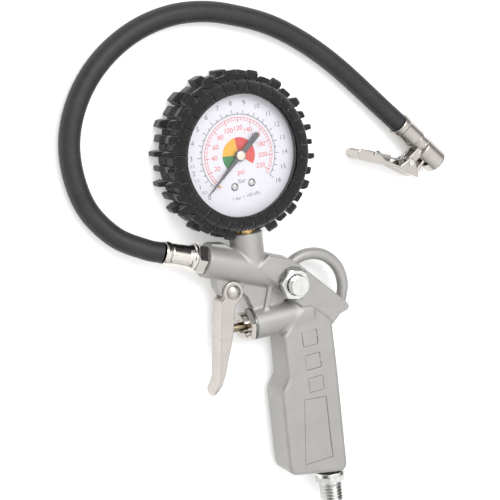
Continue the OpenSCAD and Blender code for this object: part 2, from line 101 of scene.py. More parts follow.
def spline(points, steps):
    """Smooth curve through the points, with a few steps between each two."""
    p = np.array(points, float)
    last = len(p) - 1
    line = []
    for i in range(last):
        a, b, c, d = p[max(i - 1, 0)], p[i], p[i + 1], p[min(i + 2, last)]
        for u in np.arange(steps) / steps:
            square, cube = 2 * a - 5 * b + 4 * c - d, 3 * b - a - 3 * c + d
            line.append(0.5 * (2 * b + (c - a) * u + square * u**2 + cube * u**3))
    return np.array(line + [p[last]])


# ---------- materials ----------
ROUGH_SPREAD = 0.08
SPECK_COLOR = (0.35, 0.35, 0.36, 1)


def material(name, color, second, rough, metal, mottle, grain, bump, depth, coat=0.0, dust=0.0, specular=0.5,
             glow=0.0, sheen=0.0):
    """Principled shader with a slow colour mottle, a fine grain in the bump and a varying roughness.

    mottle and grain are noise scales, dust is the share of pale specks, and depth is the grain's in millimetres.
    """
    made = bpy.data.materials.new(name)
    made.use_nodes = True
    nodes, links = made.node_tree.nodes, made.node_tree.links
    shader = nodes["Principled BSDF"]
    shader.inputs["Metallic"].default_value = metal
    shader.inputs["Coat Weight"].default_value = coat
    shader.inputs["Coat Roughness"].default_value = 0.25
    shader.inputs["Specular IOR Level"].default_value = specular
    shader.inputs["Sheen Weight"].default_value = sheen
    shader.inputs["Sheen Roughness"].default_value = 0.5
    shader.inputs["Emission Color"].default_value = (1, 1, 1, 1)
    shader.inputs["Emission Strength"].default_value = glow
    place = nodes.new("ShaderNodeTexCoord")

    def noise(scale, detail, roughness=0.5):
        node = nodes.new("ShaderNodeTexNoise")
        node.inputs["Scale"].default_value = scale
        node.inputs["Detail"].default_value = detail
        node.inputs["Roughness"].default_value = roughness
        links.new(place.outputs["Object"], node.inputs["Vector"])
        return node

    slow = noise(mottle, 4, 0.6)
    ramp = nodes.new("ShaderNodeValToRGB")
    ramp.color_ramp.elements[0].position = 0.35
    ramp.color_ramp.elements[1].position = 0.68
    ramp.color_ramp.elements[0].color = (*color, 1)
    ramp.color_ramp.elements[1].color = (*second, 1)
    links.new(slow.outputs["Fac"], ramp.inputs["Fac"])
    tint = ramp.outputs["Color"]
    fine = noise(grain, 3, 0.6)
    if dust:
        speck = noise(grain * 0.35, 6, 0.75)
        limit = nodes.new("ShaderNodeMapRange")
        limit.inputs["From Min"].default_value = 0.52
        limit.inputs["From Max"].default_value = 0.75
        limit.inputs["To Max"].default_value = dust
        links.new(speck.outputs["Fac"], limit.inputs["Value"])
        mix = nodes.new("ShaderNodeMix")
        mix.data_type = "RGBA"
        mix.inputs["B"].default_value = SPECK_COLOR
        links.new(limit.outputs["Result"], mix.inputs["Factor"])
        links.new(tint, mix.inputs["A"])
        tint = mix.outputs["Result"]
    links.new(tint, shader.inputs["Base Color"])
    range_node = nodes.new("ShaderNodeMapRange")
    range_node.inputs["To Min"].default_value = rough - ROUGH_SPREAD
    range_node.inputs["To Max"].default_value = rough + ROUGH_SPREAD
    links.new(slow.outputs["Fac"], range_node.inputs["Value"])
    links.new(range_node.outputs["Result"], shader.inputs["Roughness"])
    relief = nodes.new("ShaderNodeBump")
    relief.inputs["Strength"].default_value = bump
    relief.inputs["Distance"].default_value = depth * 0.001
    links.new(fine.outputs["Fac"], relief.inputs["Height"])
    links.new(relief.outputs["Normal"], shader.inputs["Normal"])
    return made


PAINT = material("cast_paint", (0.36, 0.352, 0.338), (0.39, 0.382, 0.368), 0.46, 0.45, 90, 3200, 0.35, 0.12)
STEEL = material("bright_steel", (0.70, 0.70, 0.68), (0.62, 0.62, 0.61), 0.2, 1, 300, 4000, 0.08, 0.05)
NICKEL = material("nickel", (0.70, 0.67, 0.625), (0.64, 0.61, 0.57), 0.16, 1, 300, 4000, 0.05, 0.05)
SATIN = material("satin_nickel", (0.52, 0.49, 0.455), (0.48, 0.45, 0.42), 0.28, 1, 200, 5000, 0.12, 0.04)
DARK = material("dark_steel", (0.20, 0.20, 0.20), (0.28, 0.28, 0.28), 0.35, 1, 300, 3500, 0.1, 0.05)
SPRING = material("spring_steel", (0.60, 0.60, 0.60), (0.52, 0.52, 0.52), 0.25, 1, 300, 4000, 0.06, 0.05)
# brass for the valve stem, in a darker tone than the other brass parts
STEM = material("dark_brass", (0.30, 0.24, 0.16), (0.22, 0.18, 0.12), 0.3, 1, 400, 4000, 0.1, 0.05)
BRASS = material("brass", (0.72, 0.50, 0.22), (0.62, 0.42, 0.18), 0.24, 1, 250, 4000, 0.08, 0.05)
RUBBER = material("black_rubber", (0.018, 0.018, 0.019), (0.026, 0.026, 0.027), 0.6, 0, 200, 2500, 0.3, 0.1)
BOOT = material("boot_rubber", (0.009, 0.009, 0.0095), (0.014, 0.014, 0.015), 0.6, 0, 110, 1900, 0.45, 0.16,
                dust=0.08, specular=0.16, sheen=0.3)
HOSE = material("hose_rubber", (0.018, 0.0185, 0.020), (0.026, 0.0265, 0.028), 0.52, 0, 80, 1500, 0.4, 0.14,
                dust=0.05, specular=0.4)
BLACK = material("case_black", (0.015, 0.015, 0.016), (0.022, 0.022, 0.024), 0.4, 0, 200, 2600, 0.15, 0.08)
WHITE = material("dial_white", (0.76, 0.75, 0.79), (0.74, 0.73, 0.78), 0.4, 0, 60, 3000, 0.04, 0.03)
NEEDLE = material("pointer_grey", (0.085, 0.085, 0.092), (0.11, 0.11, 0.12), 0.45, 0, 200, 3000, 0.1, 0.04)
CREAM = material("cap_cream", (0.84, 0.78, 0.66), (0.80, 0.72, 0.58), 0.3, 0.1, 400, 3000, 0.05, 0.04, coat=0.3)
GREY_INK = material("grey_ink", (0.13, 0.13, 0.15), (0.17, 0.17, 0.19), 0.55, 0, 900, 4000, 0.05, 0.02)
RED_INK = material("red_ink", (0.72, 0.10, 0.085), (0.78, 0.14, 0.12), 0.55, 0, 900, 4000, 0.05, 0.02)
GREEN = material("green_ink", (0.03, 0.20, 0.06), (0.04, 0.24, 0.08), 0.5, 0, 400, 4000, 0.05, 0.02)
YELLOW = material("yellow_ink", (0.80, 0.42, 0.03), (0.84, 0.46, 0.05), 0.5, 0, 400, 4000, 0.05, 0.02)
RED = material("red_zone_ink", (0.66, 0.07, 0.06), (0.70, 0.09, 0.075), 0.5, 0, 400, 4000, 0.05, 0.02)


def glass(name):
    """Clear pane: what lies behind shows through, with a soft reflection that grows at a slant."""
    made = bpy.data.materials.new(name)
    made.use_nodes = True
    nodes, links = made.node_tree.nodes, made.node_tree.links
    nodes.remove(nodes["Principled BSDF"])
    clear = nodes.new("ShaderNodeBsdfTransparent")
    clear.inputs["Color"].default_value = (0.985, 0.985, 0.99, 1)
    gloss = nodes.new("ShaderNodeBsdfGlossy")
    gloss.inputs["Roughness"].default_value = 0.06
    facing = nodes.new("ShaderNodeLayerWeight")
    facing.inputs["Blend"].default_value = 0.2
    share = nodes.new("ShaderNodeMapRange")
    share.inputs["To Min"].default_value = 0.02
    share.inputs["To Max"].default_value = 0.35
    place = nodes.new("ShaderNodeTexCoord")
    wave = nodes.new("ShaderNodeTexNoise")
    wave.inputs["Scale"].default_value = 60
    bump = nodes.new("ShaderNodeBump")
    bump.inputs["Strength"].default_value = 0.05
    bump.inputs["Distance"].default_value = 0.0002
    mix = nodes.new("ShaderNodeMixShader")
    links.new(place.outputs["Object"], wave.inputs["Vector"])
    links.new(wave.outputs["Fac"], bump.inputs["Height"])
    links.new(bump.outputs["Normal"], gloss.inputs["Normal"])
    links.new(facing.outputs["Facing"], share.inputs["Value"])
    links.new(share.outputs["Result"], mix.inputs["Fac"])
    links.new(clear.outputs["BSDF"], mix.inputs[1])
    links.new(gloss.outputs["BSDF"], mix.inputs[2])
    links.new(mix.outputs["Shader"], nodes["Material Output"].inputs["Surface"])
    return made


LENS = glass("lens_clear")

# ---------- solids as distance fields ----------
hypot, low_of, high_of = np.hypot, np.minimum, np.maximum


def corner(a, b, edge):
    """What two solids share, with their common edge rounded."""
    a, b = a + edge, b + edge
    return low_of(high_of(a, b), 0) + hypot(high_of(a, 0), high_of(b, 0)) - edge


def join(a, b, fillet):
    """Two solids as one, with a soft fillet between them."""
    return low_of(a, b) - high_of(fillet - abs(a - b), 0) ** 2 / (4 * fillet)


def cut(a, b, fillet=0.2):
    return -join(-a, b, fillet)


def rod(along, across, start, end, radius, edge=0.3):
    """Round bar, from its two distances along and across the axis."""
    return corner(across - radius, abs(along - (start + end) / 2) - (end - start) / 2, edge)


def outline(x, y, points):
    """Signed distance to a closed polygon, negative inside."""
    nearest, inside = 1e9, False
    for (ax, ay), (bx, by) in zip(points, points[1:] + points[:1]):
        ex, ey = bx - ax, by - ay
        px, py = x - ax, y - ay
        t = np.clip((px * ex + py * ey) / (ex * ex + ey * ey), 0, 1)
        nearest = low_of(nearest, (px - ex * t) ** 2 + (py - ey * t) ** 2)
        if ay != by:
            inside = inside ^ (((ay > y) != (by > y)) & (x < ex * (y - ay) / ey + ax))
    return np.where(inside, -1, 1) * np.sqrt(nearest)


def plate(x, y, z, points, half, edge=0.4):
    return corner(outline(x, y, points), abs(z) - half, edge)


def hexagon(along, y, z, start, end, flats, turn=0, edge=0.2):
    """Nut with chamfered corners."""
    across = -1e9
    for k in range(3):
        a = math.radians(turn + 60 * k)
        across = high_of(across, abs(y * math.cos(a) + z * math.sin(a)) - flats / 2)
    ends = abs(along - (start + end) / 2) - (end - start) / 2
    cone = (hypot(y, z) - flats * 0.51) * 0.5 + ends * 0.866
    return high_of(corner(across, ends, edge), cone)


def arc(centre, radius, start, end, count=10):
    angles = np.radians(np.linspace(start, end, count + 1))
    return [(centre[0] + radius * math.cos(a), centre[1] + radius * math.sin(a)) for a in angles]


def frame_at(x, y, z, turn=0):
    return Matrix.Translation((x, y, z)) @ Matrix.Rotation(math.radians(turn), 4, "Z")


PIVOT = (-12.9, -68.8)
VALVE_FRONT = -2.2
VALVE_Y = -89
BLEED = (19.8, -70.4)
INLET_X = 35.2
HERE = frame_at(0, 0, 0)
AT_MUZZLE = frame_at(*MUZZLE, 0, 160)
AT_VALVE = frame_at(VALVE_FRONT, VALVE_Y, 0)
AT_BLEED = frame_at(*BLEED, 0)
AT_INLET = frame_at(INLET_X, 0, 0)
AT_CHUCK = frame_at(*CHUCK, -45)


def enter(name, data, body, replaced=()):
    """Put an object in the scene as a piece on a body."""
    made = bpy.data.objects.new(name, data)
    bpy.context.scene.collection.objects.link(made)
    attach(made, body)
    if replaced:
        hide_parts(*replaced)
    return made


def add_piece(name, points, faces, where, paint, body, replaced=(), normals=None):
    mesh = bpy.data.meshes.new(name)
    total = SHIFT @ where
    spin = np.array(where.to_3x3())
    flat = np.array(total.to_3x3())
    points = np.asarray(points, float) @ flat.T + np.array(total.translation)
    mesh.from_pydata(points.tolist(), [], [list(map(int, face)) for face in faces])
    mesh.materials.append(paint)
    mesh.shade_smooth()
    if normals is not None:
        mesh.normals_split_custom_set_from_vertices((normals @ spin.T).tolist())
    mesh.update()
    return enter(name, mesh, body, replaced)


def model(field, low, high, cell):
    """Surface of a distance field: a mesh pulled onto it, with the field's own normals."""
    low = np.array(low, float)
    counts = np.ceil((np.array(high) - low) / cell).astype(int) + 1
    x, y, z = (low[i] + cell * np.arange(counts[i]) for i in range(3))
    values = field(x[:, None, None], y[None, :, None], z[None, None, :])
    grid = openvdb.FloatGrid(1.0)
    grid.copyFromArray(np.ascontiguousarray(np.broadcast_to(values, counts), dtype=np.float32))
    points, quads = grid.convertToQuads(isovalue=0.0)
    points = points.astype(float) * cell + low

    def slope(p):
        step = 0.02
        parts = []
        for i in range(3):
            ahead, behind = p.copy(), p.copy()
            ahead[:, i] += step
            behind[:, i] -= step
            parts.append((field(*ahead.T) - field(*behind.T)) / (2 * step))
        g = np.stack(parts, 1)
        return g / high_of(np.linalg.norm(g, axis=1), 0.2)[:, None]

    for _ in range(3):
        distance = np.clip(field(*points.T), -cell, cell)
        points -= slope(points) * distance[:, None]
    a, b, c = (points[quads[:, k]] for k in (0, 1, 2))
    if np.einsum("ij,ij->", a, np.cross(b, c)) < 0:
        quads = quads[:, ::-1]
    return points, quads, slope(points)


def solid(name, field, low, high, cell, where, paint, body, replaced=()):
    """Piece made from a distance field, sampled in a box with the given cell."""
    points, quads, normals = model(field, low, high, cell)
    return add_piece(name, points, quads, where, paint, body, replaced, normals)


# ---------- gun body ----------
HEAD = [
    (1, -58), (8, -52.8), (21.5, -58), (25.5, -61.5), (49.5, -85), (52.4, -88.2), (53, -90.2), (51.6, -91.8),
    (47, -93), (43.6, -96), (42, -97.5), (39, -93.2), (29.6, -84.9), (24.5, -84.5), (19.5, -79.4), (9, -67),
]
WEB = [
    (-8, -60), (10, -66), (20, -79), (4, -84), (1, -84), (0.3, -81.4), (-1.6, -80.4), (-3, -77), (-4.2, -73.5),
    (-7, -70.6), (-12, -66),
]
RIB = [(8.3, -68), (11.3, -68), (6.5, -82.5), (3.5, -82.5)]
EAR = [(-21, -52), (-21, -60), (-21, -66), (-19, -70)] + arc(PIVOT, 4.2, 205, 360) + [(-5, -66), (-3, -58)]
LEDGE = [(-21.4, -41.7), (-13.7, -43.2), (-9.6, -46.6), (-12, -56), (-22.8, -50.4)]
GRIP = (
    [(42.1, -96), (38, -90.5), (29.6, -84), (24.5, -83.5), (11.3, -97.5), (11.2, -120.5), (9.6, -123.4)]
    + [(7.3, -126.4), (6.4, -129.5)]
    + arc((12, -170), 5.6, 180, 258) + arc((38, -176.8), 4.2, 262, 360)
)
LOOP = (
    [(20, -62)] + arc((35.2, -78.4), 22.8, 128, -10, 20) + [(55.2, -90), (50, -90)]
    + arc((34.7, -79), 17.1, -18, 118, 20) + [(24.5, -66)]
)
SQUARES = [(26.9, -102), (27.2, -114.7), (27.5, -127.4)]
PANEL = [(19.3, -134.5), (32.7, -135.5), (33.2, -170.6), (16, -170.6)]


def gun_field(x, y, z):
    """Cast body: barrels, head, webs, hanging loop and grip, then its bores."""
    up = abs(z)
    c, s = math.cos(TILT), math.sin(TILT)
    dx, dy = x - MUZZLE[0], y - MUZZLE[1]
    out, side = -c * dx + s * dy, s * dx + c * dy
    barrel = rod(out, hypot(side, z), -45.5, 0, 9, 0.9)
    shape = join(barrel, plate(x, y, z, LEDGE, 4.4, 0.8), 0.8)
    shape = join(shape, rod(y, hypot(x, z), -60, -40, 8.7, 0.5), 0.9)
    shape = join(shape, plate(x, y, z, HEAD, 8.9, 1), 1.6)
    web = join(plate(x, y, z, WEB, 3.2, 0.5), plate(x, y, z, RIB, 5, 0.6), 0.8)
    shape = join(shape, web, 1.2)
    shape = join(shape, plate(x, y, z, EAR, 3.7, 0.5), 1)
    shape = join(shape, corner(outline(x, y, LOOP), up - 3, 2.95), 1.2)
    half = 9.5 - 1.1 * np.clip((y + 126) / 34, 0, 1)
    shape = join(shape, corner(outline(x, y, GRIP), up - half, 2.6), 0.9)
    shape = join(shape, rod(x, hypot(y - VALVE_Y, z), VALVE_FRONT, 31, 8.5, 0.6), 1.6)
    # sunk squares and the blank panel, on both sides
    for cx, cy in SQUARES:
        square = corner(abs(x - cx) - 4.5, abs(y - cy) - 3.95, 0.3)
        shape = cut(shape, corner(square, half - 0.45 - up, 0.05), 0.12)
    shape = cut(shape, corner(outline(x, y, PANEL), half - 0.6 - up, 0.05), 0.12)
    # spot face, sockets and the pin's hole
    from_bleed = hypot(x - BLEED[0], y - BLEED[1])
    shape = cut(shape, rod(z, from_bleed, 8.4, 13, 8.8, 0.1), 0.2)
    shape = cut(shape, rod(z, from_bleed, -6, 13, 4, 0.1), 0.1)
    shape = cut(shape, rod(out, hypot(side, z), -10, 3, 4.9, 0.1), 0.3)
    shape = cut(shape, rod(y, hypot(x, z), -50, -38, 4.95, 0.1), 0.3)
    shape = cut(shape, rod(x, hypot(y - VALVE_Y, z), VALVE_FRONT - 2, 10, 5.55, 0.1), 0.3)
    shape = cut(shape, rod(x, hypot(y - VALVE_Y, z), 8, 34, 5.25, 0.1), 0.2)
    shape = cut(shape, rod(y, hypot(x - INLET_X, z), -190, -168, 5.6, 0.1), 0.2)
    shape = cut(shape, rod(y, hypot(x - INLET_X, z), -190, -181.2, 9.4, 0.1), 0.2)
    return cut(shape, hypot(x - PIVOT[0], y - PIVOT[1]) - 2.03, 0.2)


solid("gun_casting", gun_field, (-35, -184, -11), (61, -38, 11), 0.55, HERE, PAINT, "gun", ["gun_body"])


# ---------- air inlet ----------
def inlet_field(x, y, z):
    """Quarter inch pipe thread with its hexagon and skirt."""
    across = hypot(x, z)
    turn = np.arctan2(z, x)
    pitch, height = 1.8, 0.8
    ridge = np.abs((y / pitch + turn / (2 * math.pi)) % 1 - 0.5) * 2
    fade = np.clip((y + 199.0) / 1.2, 0, 1) * np.clip((-187.6 - y) / 0.8, 0, 1)
    thread = across - 5.8 - height * ridge * fade
    thread = high_of(thread * 0.72, high_of(-199.4 - y, y + 184))
    skirt = cut(rod(y, across, -184, -181.35, 8.4, 0.4), rod(y, across, -183.2, -180, 7.7, 0.05), 0.1)
    shape = low_of(thread, low_of(skirt, hexagon(y, x, z, -186.8, -183.2, 16, 30)))
    shape = low_of(shape, rod(y, across, -184, -172, 5.55, 0.1))
    return cut(shape, rod(y, across, -205, -165, 3.9, 0.1), 0.5)


solid("inlet_adapter", inlet_field, (-10, -200.4, -10), (10, -171, 10), 0.2, AT_INLET, STEEL, "gun",
      ["inlet_fitting"])


# ---------- trigger valve ----------
def gland_field(x, y, z):
    """Slotted gland nut that the valve's stem slides in."""
    across = hypot(y, z)
    shape = low_of(hexagon(x, y, z, -4.3, -1.25, 16, 48), rod(x, across, -7, -3.7, 7, 0.5))
    shape = low_of(shape, rod(x, across, -1.4, 10.4, 5.4, 0.1))
    shape = cut(shape, corner(abs(y) - 2.5, high_of(x + 4.2, -12 - x), 0.1), 0.3)
    shape = cut(shape, rod(x, across, -12, -3.6, 3.6, 0.2), 0.3)
    return cut(shape, rod(x, across, -12, 11, 2.35, 0.05), 0.2)


solid("valve_gland", gland_field, (-7.6, -9.5, -9.5), (11.5, 9.5, 9.5), 0.2, AT_VALVE, NICKEL, "gun", ["valve_cap"])

# ---------- trigger ----------
LEVER = (
    [(-19.9, -72.8), (-22, -83.5), (-23.9, -96.8), (-26.2, -112.7), (-27.8, -115.9), (-29.6, -118.6), (-30.1, -120.4)]
    + [(-29.9, -121.8), (-28.9, -121.4), (-28.3, -119.4), (-25.2, -116), (-22.6, -110.8), (-20, -103)]
    + [(-17.5, -96.2), (-15.2, -88.3), (-13.6, -79), (-12.4, -75.8), (-10.6, -74.1)] + arc(PIVOT, 5.7, -58, 205, 20)
)
HOLLOW = [
    (-20.6, -60), (-19.4, -71.2), (-18.4, -72.8), (-20.6, -83.5), (-22.5, -96.8), (-24.9, -112.7), (-26.4, -116),
    (-28.3, -118.7), (-28.4, -121), (-20, -119), (-5, -95), (-5, -60),
]


def lever_field(x, y, z):
    """Bent sheet with a rounded tongue."""
    shape = plate(x, y, z, LEVER, 5.5, 0.45)
    shape = cut(shape, plate(x, y, z, HOLLOW, 4, 0.3), 0.15)
    shape = high_of(shape, hypot(low_of(y + 116.4, 0), z) - 5.5)
    return cut(shape, hypot(x - PIVOT[0], y - PIVOT[1]) - 2.08, 0.2)


solid("trigger", lever_field, (-31.5, -123.4, -6.5), (-6.2, -62, 6.5), 0.19, HERE, SATIN, "trigger",
      ["trigger_lever"])


def rivet_field(x, y, z):
    """Domed heads with a turned ring, on a plain pin."""
    across = hypot(x, y)
    up = abs(z)
    dome = np.sqrt(x * x + y * y + (up - 1.5) ** 2) - 5.8
    head = corner(high_of(across - 3.75, dome), 5.65 - up, 0.15)
    ring = cut(head, abs(across - 2.7) + abs(up - 6.75) * 0.6 - 0.12, 0.1)
    return low_of(ring, rod(z, across, -5.8, 5.8, 2, 0.05))


solid("trigger_rivet", rivet_field, (-4.4, -4.4, -8), (4.4, 4.4, 8), 0.16, frame_at(*PIVOT, 0), SATIN, "gun",
      ["trigger_pin"])


# ---------- bleed valve ----------
def bleed_field(x, y, z):
    across = hypot(x, y)
    shape = low_of(hexagon(z, x, y, 9.5, 13.2, 15, 17, 0.25), rod(z, across, -1.5, 9.8, 3.95, 0.1))
    shape = cut(shape, rod(z, across, 10.5, 16, 5.6, 0.1), 0.3)
    shape = cut(shape, rod(z, across, 2.9, 15, 2.6, 0.1), 0.2)
    return cut(shape, rod(z, across, -4, 4, 1.3, 0.05), 0.1)


def knob_field(x, y, z):
    across = hypot(x, y)
    shape = low_of(rod(z, across, 13, 17.6, 5.25, 0.4), rod(z, across, 9.9, 13.2, 2.5, 0.1))
    return low_of(shape, rod(z, across, -3.3, 10, 0.9, 0.05))


solid("bleed_hex", bleed_field, (-9.4, -9.4, -2.5), (9.4, 9.4, 14), 0.22, AT_BLEED, STEEL, "gun", ["bleed_body"])
solid("release_knob", knob_field, (-6, -6, -4.2), (6, 6, 18.4), 0.2, AT_BLEED, STEEL, "release", ["release_button"])

# ---------- boot ----------
BOOT_PROFILE = [
    (12, TABLE), (36.6, TABLE), (38.2, TABLE + 1.6), (38.2, 6.6), (36.6, 9.6), (35.4, 10.4), (33.2, 10.4),
    (31.2, 9.1), (31.2, 8.7), (34.2, 8.7), (34.2, -10.3), (12, -10.3),
]
BOOT_TURN = math.radians(1.5)
LONG_BLOCK, SHORT_BLOCK, WAIST = 43.2, 41.1, 39.5
BLOCK_TOP = 6.7


def boot_field(x, y, z):
    """Tire-shaped boot; one quarter of its blocks is laid out and mirrored to the other three."""
    c, s = math.cos(BOOT_TURN), math.sin(BOOT_TURN)
    u, v = c * x + s * y, c * y - s * x
    radius = hypot(u, v)
    shape = outline(radius, z, BOOT_PROFILE) - 0.15
    # split between the rows of blocks on the floor of the tread
    shape = cut(shape, corner(abs(z + 1.6) - 0.3, 37.3 - radius, 0.1), 0.2)
    au, av = abs(u), abs(v)
    hollow = np.sin(np.pi * np.clip((z + 6.2) / 11.4, 0, 1)) ** 2
    for k in range(10):
        a = math.radians(10 * k)
        top = LONG_BLOCK if k % 2 else SHORT_BLOCK
        start = math.radians(10 * k - 1.2)
        end = math.radians(10 * k + 6.4)
        wide = 43.5 * math.sin(a) + 1.3 / max(math.cos(a), 0.05) ** 3
        lower = au * math.sin(start) - av * math.cos(start) if k else av - 1.5
        upper = high_of(av - wide, av * math.cos(end) - au * math.sin(end)) if k < 9 else au - 3.2
        if k == 9:
            lower = -av
        height = radius - (top - (top - WAIST) * hollow)
        block = corner(high_of(lower, upper), high_of(height, high_of(z - BLOCK_TOP, TABLE + 0.3 - z)), 0.25)
        block = high_of(block, 34 - radius)
        block = high_of(block, z + radius - 48.2)
        if k >= 8:  # none where the boot sits on the boss
            block = high_of(block, -v - 30)
        shape = join(shape, block, 0.15)
        # narrow grooves along the foot of each block
        line = low_of(abs(lower + 0.25), abs(upper + 0.25)) - 0.3
        groove = high_of(line, high_of(37.4 - radius, z - 8))
        shape = cut(shape, high_of(groove, radius - 38.9), 0.12)
    # fine slits round the face
    turn = np.arctan2(v, u)
    step = 2 * math.pi / 32
    off = ((turn / step + 0.5) % 1 - 0.5) * step * radius
    slit = corner(abs(off) - 0.4, high_of(32.8 - radius, high_of(radius - 37.4, 8.2 - z)), 0.05)
    shape = cut(shape, slit, 0.15)
    # openings for the gun's boss and the gauge's neck
    boss = high_of(hypot(x, z) - 9.1, y + 39.3)
    neck = high_of(hypot(x, z) - 5.8, y + 30)
    return cut(shape, low_of(boss, neck), 0.2)


solid("tread_boot", boot_field, (-45, -45, TABLE - 0.7), (45, 45, 11.6), 0.52, HERE, BOOT, "gun", ["rubber_boot"])


# ---------- hose and its ends ----------
def nut_field(x, y, z):
    across = hypot(y, z)
    shape = low_of(hexagon(x, y, z, 0.1, 5.5, 14, 0), rod(x, across, -9.5, 0.4, 4.8, 0.1))
    shape = low_of(shape, rod(x, across, 5, 8.2, 4, 0.1))
    return cut(shape, rod(x, across, -12, 10, 1.8, 0.1), 0.1)


solid("hose_nut", nut_field, (-10.5, -9, -9), (9, 9, 9), 0.2, AT_MUZZLE, NICKEL, "gun", ["hose_nipple"])
FERRULE = [
    (5.6, 4.05), (5.6, 7.1), (6, 7.35), (6.8, 7.35), (7.3, 6.6), (8, 6.5), (8.7, 6.1), (9.6, 5.85), (14, 5.8),
    (18.6, 5.75), (19.3, 5.5), (19.9, 6.05), (20.6, 6.25), (22.2, 6.3), (22.9, 6), (22.9, 3), (8.3, 3), (8.3, 4.05),
]


def ferrule_field(x, y, z):
    return outline(x, hypot(y, z), FERRULE) - 0.08


solid("crimped_ferrule", ferrule_field, (5, -8, -8), (23.5, 8, 8), 0.2, AT_MUZZLE, NICKEL, "gun", ["gun_ferrule"])
CHUCK_FERRULE = [
    (0.1, 3.05), (0.1, 6.1), (0.5, 6.35), (3.2, 6.3), (3.7, 5.95), (4.2, 5.85), (13.2, 5.8), (13.5, 5.55),
    (13.9, 5.55), (14.2, 5.85), (14.9, 5.8), (15.2, 5.5), (15.2, 3.05),
]


def far_ferrule_field(x, y, z):
    return outline(x, hypot(y, z), CHUCK_FERRULE) - 0.05


solid("far_ferrule", far_ferrule_field, (-0.6, -7, -7), (16, 7, 7), 0.2, AT_CHUCK, SATIN, "gun", ["chuck_ferrule"])


def tube(name, line, radius, paint, body, replaced=(), sides=16):
    """Round bar along points as a curve with a bevel."""
    data = bpy.data.curves.new(name, "CURVE")
    data.dimensions = "3D"
    data.bevel_depth = radius * 0.001
    data.bevel_resolution = sides // 2 - 2
    data.use_fill_caps = True
    path = data.splines.new("POLY")
    path.points.add(len(line) - 1)
    for point, spot in zip(path.points, line):
        point.co = (*metres(spot), 1)
    path.use_smooth = True
    data.materials.append(paint)
    return enter(name, data, body, replaced)


def spring(name, node, line, radius, body):
    """Coil spring as a mesh, made from a wire curve along the line, in place of a CAD node."""
    wire = tube("wire", line, radius, SPRING, body, sides=10)
    mesh = bpy.data.meshes.new_from_object(wire)
    bpy.data.objects.remove(wire)
    mesh.name = name
    made = enter(name, mesh, body, [node])
    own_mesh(made)


def helix(radius, start, end, steps=120):
    """Five turns, as distance along the axis and the two distances across it."""
    for i, a in enumerate(np.linspace(0, 10 * math.pi, steps + 1)):
        yield start + (end - start) * i / steps, radius * math.cos(a), radius * math.sin(a)


spring("poppet_spring", "valve_spring", [(along, VALVE_Y + v, -u) for along, u, v in helix(3.5, 18.3, 33.5)],
       0.4, "gun")
spring("knob_spring", "bleed_spring", [(BLEED[0] + u, BLEED[1] + v, along) for along, u, v in helix(1.9, 3.3, 9.5)],
       0.3, "gun")

hose_line = spline(ROUTE, 9)
air_hose = tube("air_hose", hose_line, HOSE_D / 2, HOSE, "gun", ["hose"], 36)


# ---------- chuck ----------
CLIP_PIN = (17.2, -13.8)
MOUTH_Y = -1.6
FORK = [
    (17, -4), (15.3, -12.4), (15.3, -14.6), (16.4, -15.8), (18.2, -15.8), (19.3, -14.4), (21.4, -7), (21.4, -4),
]


def chuck_field(x, y, z):
    """Turned body with a fork for the lever's pin and a window for its claw."""
    across, off = hypot(y, z), hypot(y - MOUTH_Y, z)
    shape = low_of(rod(x, across, 1, 15.5, 3, 0.1), rod(x, across, 15.3, 20.5, 5.1, 0.3))
    head = rod(x, off, 19.8, 34.5, 6.9, 1.5)
    shape = join(shape, head, 0.4)
    ears = corner(outline(x, y, FORK), abs(abs(z) - 3.4) - 0.7, 0.3)
    shape = join(shape, ears, 0.5)
    shape = cut(shape, rod(x, off, 28.5, 36, 4.2, 0.1), 0.5)
    shape = cut(shape, rod(x, off, 22.4, 29, 3.9, 0.1), 0.1)
    window = high_of(abs(x - 26) - 2.4, high_of(abs(z) - 4.1, high_of(y - MOUTH_Y, -15 - y)))
    shape = cut(shape, window, 0.3)
    shape = cut(shape, high_of(abs(x) - 40, across - 1.3), 0.1)
    return cut(shape, hypot(x - CLIP_PIN[0], y - CLIP_PIN[1]) - 1.28, 0.1)


solid("clip_chuck", chuck_field, (0, -18, -8), (35.5, 7, 8), 0.22, AT_CHUCK, SATIN, "gun", ["chuck_body"])
CLIP = [
    (12.5, -19.4), (15.1, -11.8), (16.4, -11.2), (18, -11.3), (20.4, -12.6), (25.2, -16.2), (25.8, -17.6),
    (24.6, -17.9), (10.3, -21.6), (-11.2, -31.6), (-13.6, -31.2), (-14.7, -29.2), (-14.2, -27.2), (-9, -24.6),
    (-2.5, -22), (2, -22.6), (7, -21),
]
CLIP_FAR = CLIP[:-4] + [(-9, -24.6), (-2.5, -20.6), (4, -17.8), (10, -14.6)]
CLIP_HOLLOW = [(-17, -25), (10, -8), (30, -8), (30, -19), (24, -16.2), (10.8, -20.2), (-11, -30.2), (-17, -27.2)]
CLAW = [(24.2, -17.6), (25.8, -17.4), (25.8, -6.1), (24.2, -6.1)]


def clip_field(x, y, z):
    """Folded lever, one side deeper than the other, with the claw under its nose."""
    claw = plate(x, y, z, CLAW, 3.4, 0.3)
    side = np.where(z > 0, outline(x, y, CLIP), outline(x, y, CLIP_FAR))
    shape = cut(corner(side, abs(z) - 6.2, 0.4), plate(x, y, z, CLIP_HOLLOW, 4.9, 0.2), 0.15)
    shape = join(shape, claw, 0.3)
    return cut(shape, hypot(x - CLIP_PIN[0], y - CLIP_PIN[1]) - 1.3, 0.1)


solid("clip", clip_field, (-16, -33, -7.2), (27, -5, 7.2), 0.22, AT_CHUCK, SATIN, "clip", ["chuck_lever"])


def pin_field(x, y, z):
    across = hypot(x, y)
    return low_of(rod(z, across, -6.6, 6.6, 1.25, 0.3), rod(abs(z), across, 6.25, 6.6, 1.7, 0.15))


